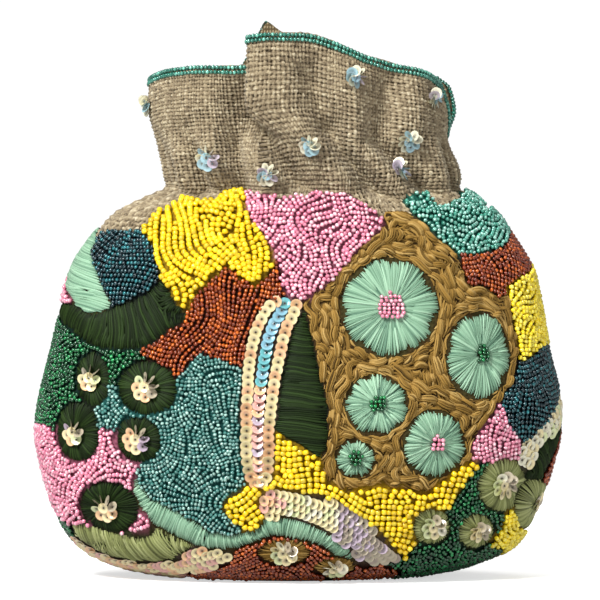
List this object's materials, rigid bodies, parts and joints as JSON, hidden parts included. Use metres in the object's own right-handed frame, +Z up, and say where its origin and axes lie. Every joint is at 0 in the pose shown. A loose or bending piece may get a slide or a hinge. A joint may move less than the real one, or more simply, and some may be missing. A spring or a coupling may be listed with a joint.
{
  "type": "reticule",
  "caption": "Small gathered pouch bag of coarse jute with a bead and stitch worked front, a drawn-in neck with a lapped pleat and an open beaded mouth.",
  "frame": {"origin": "middle of the flat spot on the base that the pouch stands on", "axes": "+Z up to the mouth, the worked front faces -Y, +X to the right as seen from the front"},
  "size_m": [0.2109, 0.1056, 0.222],
  "materials": {
    "jute": "coarse woven jute, undyed",
    "lining": "plain grey-brown lining cloth",
    "rim_green": "silver-lined green seed beads",
    "yellow": "opaque glossy yellow seed beads",
    "pink": "colour-lined pink seed beads",
    "seafoam": "silver-lined sea green seed beads",
    "amber": "silver-lined amber brown seed beads",
    "teal": "pale teal seed beads",
    "emerald": "emerald seed beads",
    "peacock": "dark peacock blue seed beads",
    "leaf": "dark green satin stitch",
    "mint": "mint green satin stitch",
    "olive": "olive satin stitch",
    "bronze": "bronze brown yarn stitch",
    "sequin": "pearly cup sequins"
  },
  "bodies": {
    "root": {"pouch_cloth": "jute", "lining": "lining", "rim_edging": "rim_green", "emerald_beads_left": "emerald", "pink_beads_left": "pink", "emerald_beads_base_left": "emerald", "olive_leaf_stitch": "olive", "sequin_arc_left": "sequin", "leaf_stitch_left": "leaf", "mint_leaf_stitch_left": "mint", "pink_beads_edge_left": "pink", "peacock_beads_left": "peacock", "amber_beads_centre": "amber", "yellow_beads_upper": "yellow", "pink_beads_upper": "pink", "bronze_stitch_ground": "bronze", "seafoam_beads_right": "seafoam", "amber_beads_right": "amber", "yellow_beads_right": "yellow", "peacock_beads_right": "peacock", "pink_beads_right": "pink", "sequin_strip_right": "sequin", "leaf_stitch_right": "leaf", "amber_beads_edge_right": "amber", "emerald_beads_right": "emerald", "yellow_beads_base_right": "yellow", "yellow_beads_lower": "yellow", "teal_beads_centre": "teal", "mint_stitch_arc": "mint", "sequin_arc_lower": "sequin", "amber_beads_base": "amber", "leaf_stitch_centre": "leaf", "sequin_band_centre": "sequin", "green_round_1": "leaf", "green_round_2": "leaf", "green_round_3": "leaf", "green_round_4": "leaf", "green_round_5": "leaf", "olive_round_1": "olive", "olive_round_2": "olive", "olive_round_3": "olive", "olive_round_4": "olive", "bronze_round_1": "bronze", "bronze_round_2": "bronze", "mint_flower_1": "mint", "mint_flower_2": "mint", "mint_flower_3": "mint", "mint_flower_4": "mint", "mint_flower_5": "mint", "neck_rosette_1": "sequin", "neck_rosette_2": "sequin", "neck_rosette_3": "sequin", "neck_rosette_4": "sequin", "neck_rosette_5": "sequin", "neck_rosette_6": "sequin", "neck_rosette_7": "sequin", "neck_rosette_8": "sequin"}
  },
  "joints": []
}
